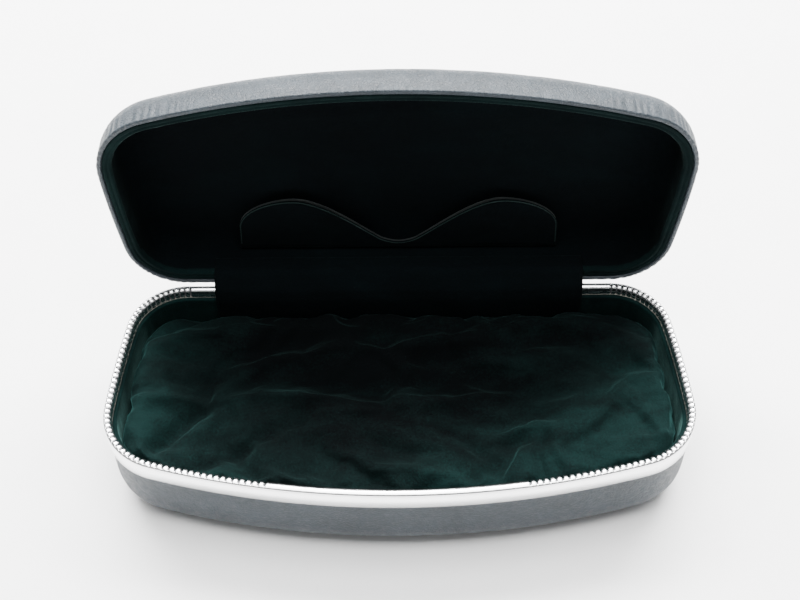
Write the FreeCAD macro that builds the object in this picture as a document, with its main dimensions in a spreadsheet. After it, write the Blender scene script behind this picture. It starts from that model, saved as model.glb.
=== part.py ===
import FreeCAD, Part
import math
import os
import Sketcher

# Hinged pen case of the spectacle-case kind: a padded base tray and a shallow lid.
# Units are millimetres. The case rests on Z = 0, +X is its length, the front is -Y.
# Each half is first drawn in its own coordinates: the outer back face lies at y = 0,
# the front is towards -y, and z runs up from the underside (base) or up from the lid's
# edge towards its top (lid, drawn as if closed). The lid is then swung open.

os.makedirs("parts", exist_ok=True)
doc = FreeCAD.newDocument("pen_case")
V = FreeCAD.Vector

# ---------------------------------------------------------------- driving dimensions
sheet = doc.addObject("Spreadsheet::Sheet", "dims")
ROWS = [
    ("half_length", "80"),
    ("case_depth", "71.5"),
    ("widest_at", "57"),
    ("side_radius", "324"),
    ("back_corner_radius", "16.5"),
    ("front_corner_radius", "19.5"),
    ("front_radius", "238"),
    ("base_height", "29.5"),
    ("base_edge_radius", "11"),
    ("lid_depth", "15.4"),
    ("lid_edge_radius", "10.5"),
    ("open_angle", "90.9"),
    ("closed_gap", "0.2"),
    ("band_thickness", "0.5"),
    ("band_height", "6.2"),
    ("bead_width", "2.2"),
    ("web_thickness", "1"),
    ("flange_depth", "3.2"),
    ("flange_thickness", "0.5"),
    ("bead_round", "0.7"),
    ("leather_thickness", "0.7"),
    ("shell_thickness", "0.5"),
    ("card_thickness", "0.8"),
    ("velvet_thickness", "0.8"),
    ("notch_width", "0.5"),
    ("notch_pitch", "1.72"),
    ("notch_front_clear", "34"),
    ("notch_back_clear", "61"),
    ("pad_gap", "0.5"),
    ("pad_top_below_rim", "7"),
    ("pad_cover_thickness", "1"),
    ("pad_board_inset", "12"),
    ("hinge_back", "0.1"),
    ("knuckle_radius", "1.15"),
    ("pin_radius", "0.6"),
    ("pin_clearance", "0.04"),
    ("hinge_half_length", "42"),
    ("hinge_middle_half", "9"),
    ("hinge_outer_start", "25"),
    ("knuckle_gap", "0.3"),
    ("leaf_thickness", "0.5"),
    ("base_leaf_height", "6"),
    ("lid_leaf_height", "3.9"),
    ("rivet_head_radius", "1.1"),
    ("rivet_shank_radius", "0.6"),
    ("rivet_head_height", "0.5"),
    ("rivet_spacing", "33.5"),
    ("strip_half_length", "53"),
    ("strip_thickness", "0.8"),
    ("lip_recess", "0.4"),
    ("turn_in_depth", "3.4"),
    ("turn_in_thickness", "0.7"),
    ("lip_width", "2.1"),
    ("flap_half_width", "45.3"),
    ("flap_level", "8.6"),
    ("flap_board_thickness", "0.6"),
    ("flap_velvet_thickness", "0.6"),
    ("hump_centre", "29.3"),
    ("hump_height", "24.6"),
    ("notch_height", "7.6"),
    ("edging_radius", "0.3"),
    ("hinge_pocket_depth", "1.35"),
    ("hinge_pocket_height", "1.45"),
    ("standing_half_length", "60"),
    ("standing_half_depth", "22.5"),
    ("standing_corner", "4"),
    ("standing_height", "0.25"),
    # insets measured inwards from the outermost outline of the half
    ("in_leather", "=band_thickness"),
    ("in_shell", "=in_leather + leather_thickness"),
    ("in_card", "=in_shell + shell_thickness"),
    ("in_velvet", "=in_card + card_thickness"),
    ("in_tray", "=in_velvet + velvet_thickness"),
    ("in_pad", "=in_tray + pad_gap"),
    ("in_foam", "=in_pad + pad_cover_thickness"),
    ("z_shell", "=leather_thickness"),
    ("z_card", "=z_shell + shell_thickness"),
    ("z_velvet", "=z_card + card_thickness"),
    ("z_tray", "=z_velvet + velvet_thickness"),
    ("z_pad_top", "=base_height - pad_top_below_rim"),
    ("z_under_web", "=base_height - web_thickness"),
    ("z_lining_top", "=base_height - flange_depth"),
    ("lid_in_shell", "=leather_thickness"),
    ("lid_in_turn", "=lid_in_shell + shell_thickness"),
    ("lid_in_card", "=lid_in_turn + turn_in_thickness"),
    ("lid_in_velvet", "=lid_in_card + card_thickness"),
    ("lid_in_tray", "=lid_in_card + lip_width"),
    ("lid_z_shell", "=lid_depth - leather_thickness"),
    ("lid_z_card", "=lid_z_shell - shell_thickness"),
    ("lid_z_velvet", "=lid_z_card - card_thickness"),
    ("lid_z_tray", "=lid_z_velvet - velvet_thickness"),
]
for row, (alias, value) in enumerate(ROWS, start=1):
    cell = "B%d" % row
    sheet.set("A%d" % row, alias)
    sheet.set(cell, value)
    sheet.setAlias(cell, alias)
doc.recompute()


def dim(alias):
    """Value of one driving dimension."""
    return float(getattr(sheet, alias))


# ------------------------------------------------------------- plan shape of a half
def corner_centres(inset):
    """Arc centres and radii of the plan shape: straight back, flared sides, bowed front."""
    side = V(dim("half_length") - dim("side_radius"), -dim("widest_at"), 0)
    front = V(0, dim("front_radius") - dim("case_depth"), 0)
    rs = dim("side_radius")
    rb = dim("back_corner_radius")
    rf = dim("front_corner_radius")
    rr = dim("front_radius")
    reach = math.sqrt((rs - rb) ** 2 - (dim("widest_at") - rb) ** 2)
    back_corner = V(side.x + reach, -rb, 0)
    ra = rs - rf
    rc = rr - rf
    gap = (front - side).Length
    along = (ra * ra - rc * rc + gap * gap) / (2 * gap)
    across = math.sqrt(ra * ra - along * along)
    unit = (front - side).normalize()
    normal = V(unit.y, -unit.x, 0)
    front_corner = side + unit * along + normal * across
    radii = (rb - inset, rs - inset, rf - inset, rr - inset)
    return (back_corner, side, front_corner, front), radii


def mirrored(point):
    return V(-point.x, point.y, point.z)


def heading(centre, target):
    """Direction from one arc centre towards another, as an angle."""
    return math.atan2(target.y - centre.y, target.x - centre.x)


def plan_arcs(inset):
    """The eight edges of the plan shape, counter-clockwise from the back line."""
    (cb, cs, cf, cc), (rb, rs, rf, rr) = corner_centres(inset)
    a_back = heading(cs, cb)
    a_side = heading(cs, cf)
    a_front = heading(cc, cf)
    half_turn = math.pi
    arcs = [
        (mirrored(cb), rb, half_turn / 2, half_turn - a_back),
        (mirrored(cs), rs, half_turn - a_back, half_turn - a_side),
        (mirrored(cf), rf, half_turn - a_side, half_turn - a_front),
        (cc, rr, half_turn - a_front, 2 * half_turn + a_front),
        (cf, rf, a_front, a_side),
        (cs, rs, a_side, a_back),
        (cb, rb, a_back, half_turn / 2),
    ]
    start = V(cb.x, -inset, 0)
    end = V(-cb.x, -inset, 0)
    return start, end, arcs


AXIS_Z = V(0, 0, 1)


def plan_sketch(body, name, inset_text, level_text):
    """Sketch of the plan shape, inset and lifted by expressions of the sheet."""
    inset = value_of(inset_text)
    sketch = body.newObject("Sketcher::SketchObject", name)
    xy_plane = body.Origin.OriginFeatures[3]
    sketch.AttachmentSupport = [(xy_plane, "")]
    sketch.MapMode = "FlatFace"
    start, end, arcs = plan_arcs(inset)
    sketch.addGeometry(Part.LineSegment(start, end), False)
    for centre, radius, first, last in arcs:
        while last < first:
            last = last + 2 * math.pi
        circle = Part.Circle(centre, AXIS_Z, radius)
        sketch.addGeometry(Part.ArcOfCircle(circle, first, last), False)
    add = sketch.addConstraint
    for index in range(7):
        add(Sketcher.Constraint("Tangent", index, 2, index + 1, 1))
    add(Sketcher.Constraint("Tangent", 7, 2, 0, 1))
    radius_of = {
        1: "back_corner_radius",
        7: "back_corner_radius",
        2: "side_radius",
        6: "side_radius",
        3: "front_corner_radius",
        5: "front_corner_radius",
        4: "front_radius",
    }
    for index, alias in radius_of.items():
        key = add(Sketcher.Constraint("Radius", index, dim(alias) - inset))
        sketch.setExpression("Constraints[%d]" % key, "dims.%s - (%s)" % (alias, inset_text))
    offset = dim("side_radius") - dim("half_length")
    key = add(Sketcher.Constraint("DistanceX", 6, 3, -1, 1, offset))
    sketch.setExpression("Constraints[%d]" % key, "dims.side_radius - dims.half_length")
    key = add(Sketcher.Constraint("DistanceX", -1, 1, 2, 3, offset))
    sketch.setExpression("Constraints[%d]" % key, "dims.side_radius - dims.half_length")
    for index in (2, 6):
        key = add(Sketcher.Constraint("DistanceY", index, 3, -1, 1, dim("widest_at")))
        sketch.setExpression("Constraints[%d]" % key, "dims.widest_at")
    for index in (1, 7):
        key = add(Sketcher.Constraint("DistanceY", index, 3, -1, 1, dim("back_corner_radius")))
        sketch.setExpression("Constraints[%d]" % key, "dims.back_corner_radius")
    add(Sketcher.Constraint("PointOnObject", 4, 3, -2))
    rise = dim("front_radius") - dim("case_depth")
    key = add(Sketcher.Constraint("DistanceY", -1, 1, 4, 3, rise))
    sketch.setExpression("Constraints[%d]" % key, "dims.front_radius - dims.case_depth")
    sketch.setExpression("AttachmentOffset.Base.z", level_text)
    return sketch


def value_of(text):
    """Evaluate a short sum of sheet aliases, such as 'dims.a + dims.b - dims.c'."""
    total = 0.0
    sign = 1.0
    for word in text.split():
        if word == "+":
            sign = 1.0
        elif word == "-":
            sign = -1.0
        elif word.startswith("dims."):
            total = total + sign * dim(word[5:])
        else:
            total = total + sign * float(word)
    return total


def block(name, inset, low, high, round_edge=None, radius=None):
    """Solid of the plan shape between two levels; one edge ring may be rounded."""
    body = doc.addObject("PartDesign::Body", name)
    sketch = plan_sketch(body, name + "_plan", inset, low)
    pad = body.newObject("PartDesign::Pad", name + "_pad")
    pad.Profile = sketch
    pad.Length = value_of(high) - value_of(low)
    pad.setExpression("Length", "%s - (%s)" % (high, low))
    doc.recompute()
    if round_edge is None:
        return body
    level = value_of(low) if round_edge == "bottom" else value_of(high)
    names = []
    for index, edge in enumerate(pad.Shape.Edges, start=1):
        box = edge.BoundBox
        flat = abs(box.ZMin - level) < 1e-5 and abs(box.ZMax - level) < 1e-5
        if flat:
            names.append("Edge%d" % index)
    fillet = body.newObject("PartDesign::Fillet", name + "_round")
    fillet.Base = (pad, names)
    fillet.Radius = value_of(radius)
    fillet.setExpression("Radius", radius)
    doc.recompute()
    return body


def cut(name, base, tool):
    result = doc.addObject("Part::Cut", name)
    result.Base = base
    result.Tool = tool
    return result


def fuse(name, shapes):
    result = doc.addObject("Part::MultiFuse", name)
    result.Shapes = shapes
    return result


def common(name, base, tool):
    result = doc.addObject("Part::MultiCommon", name)
    result.Shapes = [base, tool]
    return result


def box(name, low, high):
    """Plain block between two corners."""
    result = doc.addObject("Part::Box", name)
    result.Length = high[0] - low[0]
    result.Width = high[1] - low[1]
    result.Height = high[2] - low[2]
    result.Placement = FreeCAD.Placement(V(*low), FreeCAD.Rotation())
    return result


def rod(name, radius, start, direction, length):
    """Cylinder from a start point along a direction."""
    result = doc.addObject("Part::Cylinder", name)
    result.Radius = radius
    result.Height = length
    turn = FreeCAD.Rotation(AXIS_Z, V(*direction))
    result.Placement = FreeCAD.Placement(V(*start), turn)
    return result


nodes = []


def node(source, name, placement):
    """Name one physical piece and put it where it belongs."""
    source.Label = name
    source.Placement = placement.multiply(source.Placement)
    nodes.append(source)


HEIGHT = dim("base_height")
HALF_DEPTH = dim("case_depth") / 2
BASE_PLACE = FreeCAD.Placement(V(0, HALF_DEPTH, 0), FreeCAD.Rotation())
HINGE = V(0, HALF_DEPTH + dim("hinge_back"), HEIGHT + dim("closed_gap") / 2)
SWING = FreeCAD.Rotation(V(1, 0, 0), -dim("open_angle"))
LID_LOCAL_AXIS = V(0, dim("hinge_back"), -dim("closed_gap") / 2)
LID_PLACE = FreeCAD.Placement(HINGE, SWING).multiply(
    FreeCAD.Placement(LID_LOCAL_AXIS * -1, FreeCAD.Rotation())
)

RIVET_XS = (-dim("rivet_spacing"), dim("rivet_spacing"))
BASE_RIVET_Z = HEIGHT - 3.8
LID_RIVET_Z = 2.3
BASE_WALL = dim("in_card") + dim("leaf_thickness")
LID_WALL = dim("lid_in_turn") + dim("leaf_thickness")


def rivet_holes(name, level, reach):
    """Holes for the rivet shanks, drilled from the hinge leaf through the back wall."""
    tools = []
    for index, x in enumerate(RIVET_XS):
        start = (x, dim("leaf_thickness"), level)
        label = "%s_%d" % (name, index)
        tools.append(rod(label, dim("rivet_shank_radius"), start, (0, -1, 0), reach))
    return fuse(name, tools)


def hinge_pocket(name, low, high):
    """Room for the knuckles, cut into the outer corner of the back wall of one half."""
    reach = dim("hinge_half_length") + 0.8
    return box(name, (-reach, -dim("hinge_pocket_depth"), low), (reach, 1, high))


def underside_relief():
    """Thin ring taken off the underside, so that a flat with clipped corners stands proud."""
    half_x = dim("standing_half_length")
    half_y = dim("standing_half_depth")
    clip = dim("standing_corner")
    corners = ((half_x - clip, half_y), (clip - half_x, half_y), (-half_x, half_y - clip),
               (-half_x, clip - half_y), (clip - half_x, -half_y), (half_x - clip, -half_y),
               (half_x, clip - half_y), (half_x, half_y - clip))
    points = [V(x, y - HALF_DEPTH, -1) for x, y in corners]
    flat = Part.Face(Part.makePolygon(points + [points[0]]))
    piece = doc.addObject("Part::Feature", "standing_flat")
    piece.Shape = flat.extrude(V(0, 0, 1 + dim("standing_height")))
    far = dim("half_length") + 5
    ring = box("relief_box", (-far, -far, -1), (far, 5, dim("standing_height")))
    return cut("underside_relief", ring, piece)


# ------------------------------------------------------------------ base half: shells
b_top = "dims.base_height"
base_holes = rivet_holes("base_rivet_holes", BASE_RIVET_Z, BASE_WALL)
skin_outer = block("skin_outer", "dims.in_leather", "0", "dims.z_under_web",
                   "bottom", "dims.base_edge_radius")
shell_outer = block("shell_outer", "dims.in_shell", "dims.z_shell", "dims.z_under_web",
                    "bottom", "dims.base_edge_radius - dims.leather_thickness")
shell_inner = block("shell_inner", "dims.in_card", "dims.z_card", "dims.z_under_web",
                    "bottom",
                    "dims.base_edge_radius - dims.leather_thickness - dims.shell_thickness")
POCKET_LOW = HEIGHT - dim("hinge_pocket_height")
base_removed = fuse("base_removed", [base_holes, hinge_pocket("base_pocket", POCKET_LOW, 99)])
skin_removed = fuse("skin_removed", [base_removed, underside_relief()])
base_skin = cut("base_skin_drilled", cut("base_skin", skin_outer, shell_outer), skin_removed)
node(base_skin, "base_leatherette", BASE_PLACE)
base_shell = cut("base_shell_drilled", cut("base_shell_tray", shell_outer, shell_inner),
                 base_removed)
node(base_shell, "base_shell", BASE_PLACE)

# ----------------------------------------------------- bright channel rim of the base
rim_block = block("rim_block", "0", "dims.base_height - dims.band_height", b_top,
                  "top", "dims.bead_round")
rim_hollow = block("rim_hollow", "dims.in_leather", "dims.base_height - dims.band_height",
                   "dims.z_under_web")
rim_hole = block("rim_hole", "dims.bead_width", "dims.base_height - dims.band_height - 1",
                 "dims.base_height + 1")
flange_outer = block("flange_outer", "dims.bead_width - dims.flange_thickness",
                     "dims.base_height - dims.flange_depth", "dims.z_under_web")
rim_plain = fuse("rim_plain", [cut("rim_cap", rim_block, rim_hollow), flange_outer])
rim_open = cut("rim_open", rim_plain, rim_hole)


def plan_stations(inset, pitch):
    """Evenly spaced stations round the sides and corners, each with its outward normal."""
    start, end, arcs = plan_arcs(inset)
    edges = [Part.LineSegment(start, end).toShape()]
    for centre, radius, first, last in arcs:
        while last < first:
            last = last + 2 * math.pi
        circle = Part.Circle(centre, AXIS_Z, radius)
        edges.append(Part.ArcOfCircle(circle, first, last).toShape())
    stations = []
    travelled = 0.0
    target = pitch / 2
    for edge in edges:
        while target < travelled + edge.Length:
            spot = edge.getParameterByLength(target - travelled)
            tangent = edge.tangentAt(spot)
            stations.append((edge.valueAt(spot), V(tangent.y, -tangent.x, 0)))
            target = target + pitch
        travelled = travelled + edge.Length
    return stations


def notch_cutters():
    """Narrow slots through the inner half of the bead and its flange, where it bends."""
    cutters = []
    reach = dim("bead_width") - 0.6
    depth = dim("flange_depth") + 0.2
    for point, outward in plan_stations(dim("bead_width"), dim("notch_pitch")):
        at_front = point.y < -dim("case_depth") / 2
        clear = dim("notch_front_clear") if at_front else dim("notch_back_clear")
        if abs(point.x) < clear:
            continue
        slot = Part.makeBox(reach + 0.5, dim("notch_width"), depth)
        slot.translate(V(-0.5, -dim("notch_width") / 2, 0))
        turn = FreeCAD.Rotation(V(1, 0, 0), outward)
        lift = V(point.x, point.y, HEIGHT - dim("flange_depth") - 0.1)
        slot.Placement = FreeCAD.Placement(lift, turn).multiply(slot.Placement)
        cutters.append(slot)
    return cutters


notches = doc.addObject("Part::Feature", "rim_notches")
notches.Shape = Part.makeCompound(notch_cutters())
rim_toothed = cut("rim_toothed", rim_open, notches)
rim = cut("rim_drilled", rim_toothed, base_removed)
node(rim, "base_rim", BASE_PLACE)

# ---------------------------------------------------------------- lining of the base
card_outer = block("card_outer", "dims.in_card", "dims.z_card", "dims.z_lining_top", "bottom",
                   "dims.base_edge_radius - dims.in_card + dims.in_leather")
velvet_outer = block("velvet_outer", "dims.in_velvet", "dims.z_velvet", "dims.z_lining_top",
                     "bottom", "dims.base_edge_radius - dims.in_velvet + dims.in_leather")
tray_inner = block("tray_inner", "dims.in_tray", "dims.z_tray", "dims.z_lining_top", "bottom",
                   "dims.base_edge_radius - dims.in_tray + dims.in_leather")
base_card = cut("base_card", card_outer, velvet_outer)
node(base_card, "base_lining_card", BASE_PLACE)
base_velvet = cut("base_velvet", velvet_outer, tray_inner)
node(base_velvet, "base_lining_velvet", BASE_PLACE)

# ------------------------------------------------------------------ pad in the base
cover_block = block("cover_block", "dims.in_pad", "dims.z_tray", "dims.z_pad_top", "top", "4.5")
# the pad's lower edge is kept inside the rounded bottom of the tray
tray_limit = block("tray_limit", "dims.in_pad", "dims.z_tray", "dims.z_pad_top + 1", "bottom",
                   "dims.base_edge_radius - dims.in_pad + dims.in_leather")
cover_solid = common("cover_solid", cover_block, tray_limit)
foam_block = block("foam_block", "dims.in_foam", "dims.z_tray + dims.pad_cover_thickness",
                   "dims.z_pad_top - dims.pad_cover_thickness", "top", "3.5")
foam_limit = block("foam_limit", "dims.in_foam", "dims.z_tray + dims.pad_cover_thickness",
                   "dims.z_pad_top + 1", "bottom",
                   "dims.base_edge_radius - dims.in_foam + dims.in_leather")
foam = common("pad_foam_core", foam_block, foam_limit)
board = block("board_block", "dims.pad_board_inset", "dims.z_tray",
              "dims.z_tray + dims.pad_cover_thickness")
pad_cover = cut("pad_cover_open", cut("pad_cover_bag", cover_solid, foam), board)
node(pad_cover, "pad_cover", BASE_PLACE)
node(common("pad_foam_piece", foam_block, foam_limit), "pad_foam", BASE_PLACE)
board_piece = block("board_piece", "dims.pad_board_inset", "dims.z_tray",
                    "dims.z_tray + dims.pad_cover_thickness")
node(board_piece, "pad_board", BASE_PLACE)

# --------------------------------------------------------------------------- hinge
AX_Y = dim("hinge_back")
AX_Z = HEIGHT + dim("closed_gap") / 2
LEAF = dim("leaf_thickness")
SPAN = dim("hinge_half_length")
MID = dim("hinge_middle_half")
OUT = dim("hinge_outer_start")
GAP = dim("knuckle_gap")
KNUCKLE = dim("knuckle_radius")
PIN = dim("pin_radius")
CLEAR = KNUCKLE + 0.35

base_spans = ((-SPAN, -OUT), (-MID, MID), (OUT, SPAN))
lid_spans = ((-OUT + GAP, -MID - GAP), (MID + GAP, OUT - GAP))


def leaf_plate(name, spans, plate_low, plate_high, axis_z, bore):
    """A hinge leaf: one plate on the back wall, with a rolled knuckle at each span."""
    pieces = []
    if plate_low < axis_z:
        strip_low = plate_low
        strip_high = axis_z - CLEAR
    else:
        strip_low = axis_z + CLEAR
        strip_high = plate_high
    pieces.append(box(name + "_plate", (-SPAN, 0, strip_low), (SPAN, LEAF, strip_high)))
    for index, (first, last) in enumerate(spans):
        label = "%s_%d" % (name, index)
        low = min(axis_z, strip_low)
        high = max(axis_z, strip_high)
        pieces.append(box(label + "_neck", (first, 0, low), (last, LEAF, high)))
        start = (first, AX_Y, axis_z)
        pieces.append(rod(label + "_roll", KNUCKLE, start, (1, 0, 0), last - first))
    solid = fuse(name + "_solid", pieces)
    hole = rod(name + "_bore", bore, (-SPAN - 1, AX_Y, axis_z), (1, 0, 0), 2 * SPAN + 2)
    return cut(name + "_bored", solid, hole)


base_leaf = leaf_plate("base_leaf", base_spans, HEIGHT - dim("base_leaf_height"), HEIGHT,
                       AX_Z, PIN)
base_leaf = cut("base_leaf_drilled", base_leaf, base_holes)
node(base_leaf, "hinge_leaf_base", BASE_PLACE)

pin = rod("pin_rod", PIN, (-SPAN - 0.4, AX_Y, AX_Z), (1, 0, 0), 2 * SPAN + 0.8)
node(pin, "hinge_pin", BASE_PLACE)

lid_axis_z = -dim("closed_gap") / 2
lid_holes = rivet_holes("lid_rivet_holes", LID_RIVET_Z, LID_WALL)
lid_pocket = hinge_pocket("lid_pocket", -9, dim("hinge_pocket_height") - 0.05)
lid_removed = fuse("lid_removed", [lid_holes, lid_pocket])
lid_leaf = leaf_plate("lid_leaf", lid_spans, lid_axis_z, dim("lid_leaf_height"),
                      lid_axis_z, PIN + dim("pin_clearance"))
lid_leaf = cut("lid_leaf_drilled", lid_leaf, lid_holes)
node(lid_leaf, "hinge_leaf_lid", LID_PLACE)


def rivets(prefix, level, reach, placement):
    """Two rivets, each a flat round head on the leaf with a shank through the wall."""
    for side, x in zip(("left", "right"), RIVET_XS):
        name = "%s_%s" % (prefix, side)
        start = (x, LEAF, level)
        head = rod(name + "_head", dim("rivet_head_radius"), start, (0, 1, 0),
                   dim("rivet_head_height"))
        shank = rod(name + "_shank", dim("rivet_shank_radius"), start, (0, -1, 0), reach)
        piece = fuse(name + "_solid", [head, shank])
        node(piece, name, placement)


rivets("base_rivet", BASE_RIVET_Z, BASE_WALL, BASE_PLACE)
rivets("lid_rivet", LID_RIVET_Z, LID_WALL, LID_PLACE)

# ---------------------------------------------------------- lower half of the strip
STRIP = dim("strip_half_length")
THICK = dim("strip_thickness")
TRAY = dim("in_tray")
strip_low = dim("z_pad_top") + 0.3
base_strip = box("base_strip_box", (-STRIP, -TRAY - THICK, strip_low),
                 (STRIP, -TRAY, HEIGHT - 0.5))
node(base_strip, "hinge_cover_base", BASE_PLACE)

# ----------------------------------------------------------------- lid half: shells
EDGE = "dims.leather_thickness"
l_outer = block("l_outer", "0", "0", "dims.lid_depth", "top", "dims.lid_edge_radius")
l_shell_outer = block("l_shell_outer", "dims.lid_in_shell", EDGE, "dims.lid_z_shell", "top",
                      "dims.lid_edge_radius - dims.lid_in_shell")
l_shell_inner = block("l_shell_inner", "dims.lid_in_turn", EDGE, "dims.lid_z_card", "top",
                      "dims.lid_edge_radius - dims.lid_in_turn")
l_mouth = block("l_mouth", "dims.lid_in_card", "-1", "5")
l_turn = block("l_turn", "dims.lid_in_turn", EDGE, "dims.turn_in_depth")
lid_skin_open = cut("lid_skin_hollow", l_outer, l_shell_outer)
lid_skin_full = fuse("lid_skin_full", [lid_skin_open, l_turn])
lid_skin_cut = cut("lid_skin_mouth", lid_skin_full, l_mouth)
lid_skin = cut("lid_skin_drilled", lid_skin_cut, lid_removed)
node(lid_skin, "lid_leatherette", LID_PLACE)
lid_shell = cut("lid_shell_drilled", cut("lid_shell_tray", l_shell_outer, l_shell_inner),
                lid_removed)
node(lid_shell, "lid_shell", LID_PLACE)

# ----------------------------------------------------------------- lining of the lid
CARD_LOW = "dims.lip_recess + dims.velvet_thickness"
l_card_outer = block("l_card_outer", "dims.lid_in_card", CARD_LOW, "dims.lid_z_card", "top",
                     "dims.lid_edge_radius - dims.lid_in_card")
l_velvet_outer = block("l_velvet_outer", "dims.lid_in_velvet", CARD_LOW, "dims.lid_z_velvet",
                       "top", "dims.lid_edge_radius - dims.lid_in_velvet")
l_tray = block("l_tray", "dims.lid_in_tray", "-1", "dims.lid_z_tray", "top",
               "dims.lid_edge_radius - dims.lid_in_tray")
lid_card = cut("lid_card", l_card_outer, l_velvet_outer)
node(lid_card, "lid_lining_card", LID_PLACE)
l_lip_cap = block("l_lip_cap", "dims.lid_in_card", "dims.lip_recess", CARD_LOW)
SPLIT = dim("lid_z_tray") - 0.8
FAR = dim("half_length") + 5
panel_zone = box("panel_zone", (-FAR, -FAR, SPLIT), (FAR, 5, dim("lid_depth")))
velvet_all = cut("lid_velvet_all", fuse("lid_velvet_sum", [l_velvet_outer, l_lip_cap]), l_tray)
lid_lip = cut("lid_lip_frame_ring", velvet_all, panel_zone)
node(lid_lip, "lid_lip_frame", LID_PLACE)
lid_panel = common("lid_panel_sheet", velvet_all, panel_zone)
node(lid_panel, "lid_lining_velvet", LID_PLACE)

# ------------------------------------------- pocket flap with the double-humped edge
FLAP_LOW = dim("flap_level")
FLAP_VELVET = dim("flap_velvet_thickness")
FLAP_BOARD = dim("flap_board_thickness")
INNER_BACK = dim("lid_in_tray")
# the flap starts clear of the rounded foot of the lip frame
FLAP_FOOT = INNER_BACK + 1.7
HALF_FLAP = dim("flap_half_width")


def flap_profile():
    """Outline of the flap: flat at the hinge side, two humps, a dip at the centre."""
    hump_x = dim("hump_centre")
    hump_y = -dim("hump_height")
    dip_y = -dim("notch_height")
    foot_point = V(-HALF_FLAP - 0.4, -FLAP_FOOT, 0)
    shoulder_point = V(-HALF_FLAP, hump_y + 10, 0)
    hump_point = V(-hump_x, hump_y, 0)
    dip_start = V(-5, dip_y - 1.5, 0)
    dip_point = V(0, dip_y, 0)
    shoulder = Part.BezierCurve()
    shoulder.setPoles([shoulder_point, V(-HALF_FLAP + 0.5, hump_y + 4, 0),
                       V(-hump_x - 7, hump_y, 0), hump_point])
    slope = Part.BezierCurve()
    slope.setPoles([hump_point, V(-hump_x + 8, hump_y, 0), V(-11.5, dip_y - 6.5, 0),
                    dip_start])
    dip = Part.BezierCurve()
    dip.setPoles([dip_start, V(-2.5, dip_y - 0.1, 0), dip_point])
    edges = [Part.LineSegment(foot_point, shoulder_point).toShape()]
    edges.append(shoulder.toShape())
    edges.append(slope.toShape())
    edges.append(dip.toShape())
    flip = FreeCAD.Matrix()
    flip.A11 = -1
    others = [edge.transformGeometry(flip) for edge in edges]
    foot = Part.LineSegment(mirrored(foot_point), foot_point).toShape()
    return Part.Wire(Part.__sortEdges__(edges + others + [foot]))


flap_face = Part.Face(flap_profile())


def slab(name, face, low, thickness):
    """Sheet of even thickness; its humped outline is a free curve."""
    piece = doc.addObject("Part::Feature", name)
    solid = face.extrude(V(0, 0, thickness))
    solid.translate(V(0, 0, low))
    piece.Shape = solid
    return piece


flap_velvet = slab("flap_velvet_sheet", flap_face, FLAP_LOW, FLAP_VELVET)
flap_board = slab("flap_board_sheet", flap_face, FLAP_LOW + FLAP_VELVET, FLAP_BOARD)
node(flap_velvet, "pocket_velvet", LID_PLACE)
node(flap_board, "pocket_board", LID_PLACE)

# thin light edging just inside the humped edge, on the flap's front face
EDGING = dim("edging_radius")


def edge_run(inset):
    """Smooth curve that follows the humped edge of the flap at a small inset."""
    spots = []
    for edge in flap_top_edges:
        count = max(3, int(edge.Length / 2.2))
        for step in range(count):
            length = edge.Length * (step + 0.5) / count
            spot = edge.getParameterByLength(length)
            tangent = edge.tangentAt(spot)
            spots.append((edge.valueAt(spot), tangent))
    points = []
    for point, tangent in spots:
        side = V(-tangent.y, tangent.x, 0)
        steep = abs(tangent.x) < 0.25
        inward = -side.x * point.x if steep else side.y
        sign = 1.0 if inward > 0 else -1.0
        points.append(point + side * (sign * inset))
    points.sort(key=run_order)
    curve = Part.BSplineCurve()
    curve.interpolate(points)
    return curve.toShape(), points[0], points[-1]


def run_order(point):
    """Order along the edge: up the left side, over both humps, down the right side."""
    if point.x < -HALF_FLAP + 1.2:
        return (0, -point.y)
    if point.x > HALF_FLAP - 1.2:
        return (2, point.y)
    return (1, point.x)


flap_top_edges = []
for flap_edge in flap_face.OuterWire.Edges:
    middle = flap_edge.valueAt(flap_edge.getParameterByLength(flap_edge.Length / 2))
    if abs(middle.y + FLAP_FOOT) > 0.5:
        flap_top_edges.append(flap_edge)
outer_run, outer_first, outer_last = edge_run(0.08)
inner_run, inner_first, inner_last = edge_run(0.08 + 2 * EDGING)
edging_ends = [Part.LineSegment(outer_first, inner_first).toShape(),
               Part.LineSegment(outer_last, inner_last).toShape()]
edging_loop = Part.Wire(Part.__sortEdges__([outer_run, inner_run] + edging_ends))
edging_sheet = slab("edging_sheet", Part.Face(edging_loop), FLAP_LOW - EDGING, EDGING)
node(edging_sheet, "pocket_edging", LID_PLACE)

# side gussets of the pocket: folded velvet strips that tie the board to the lining
WALL = 0.8
pocket_top = FLAP_LOW + FLAP_VELVET + FLAP_BOARD
for side, word in ((-1, "left"), (1, "right")):
    near = side * (HALF_FLAP - 0.2)
    far = side * (HALF_FLAP - 0.2 - WALL)
    low = (min(near, far), -dim("hump_height") + 9, pocket_top)
    high = (max(near, far), -dim("lid_edge_radius") - 0.2, dim("lid_z_tray"))
    gusset = box("pocket_gusset_" + word, low, high)
    node(gusset, "pocket_side_" + word, LID_PLACE)

# ---------------------------------------------------------- upper half of the strip
lid_strip = box("lid_strip_box", (-STRIP, -INNER_BACK - THICK, 0.6),
                (STRIP, -INNER_BACK, 5.8))
node(lid_strip, "hinge_cover_lid", LID_PLACE)

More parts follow.
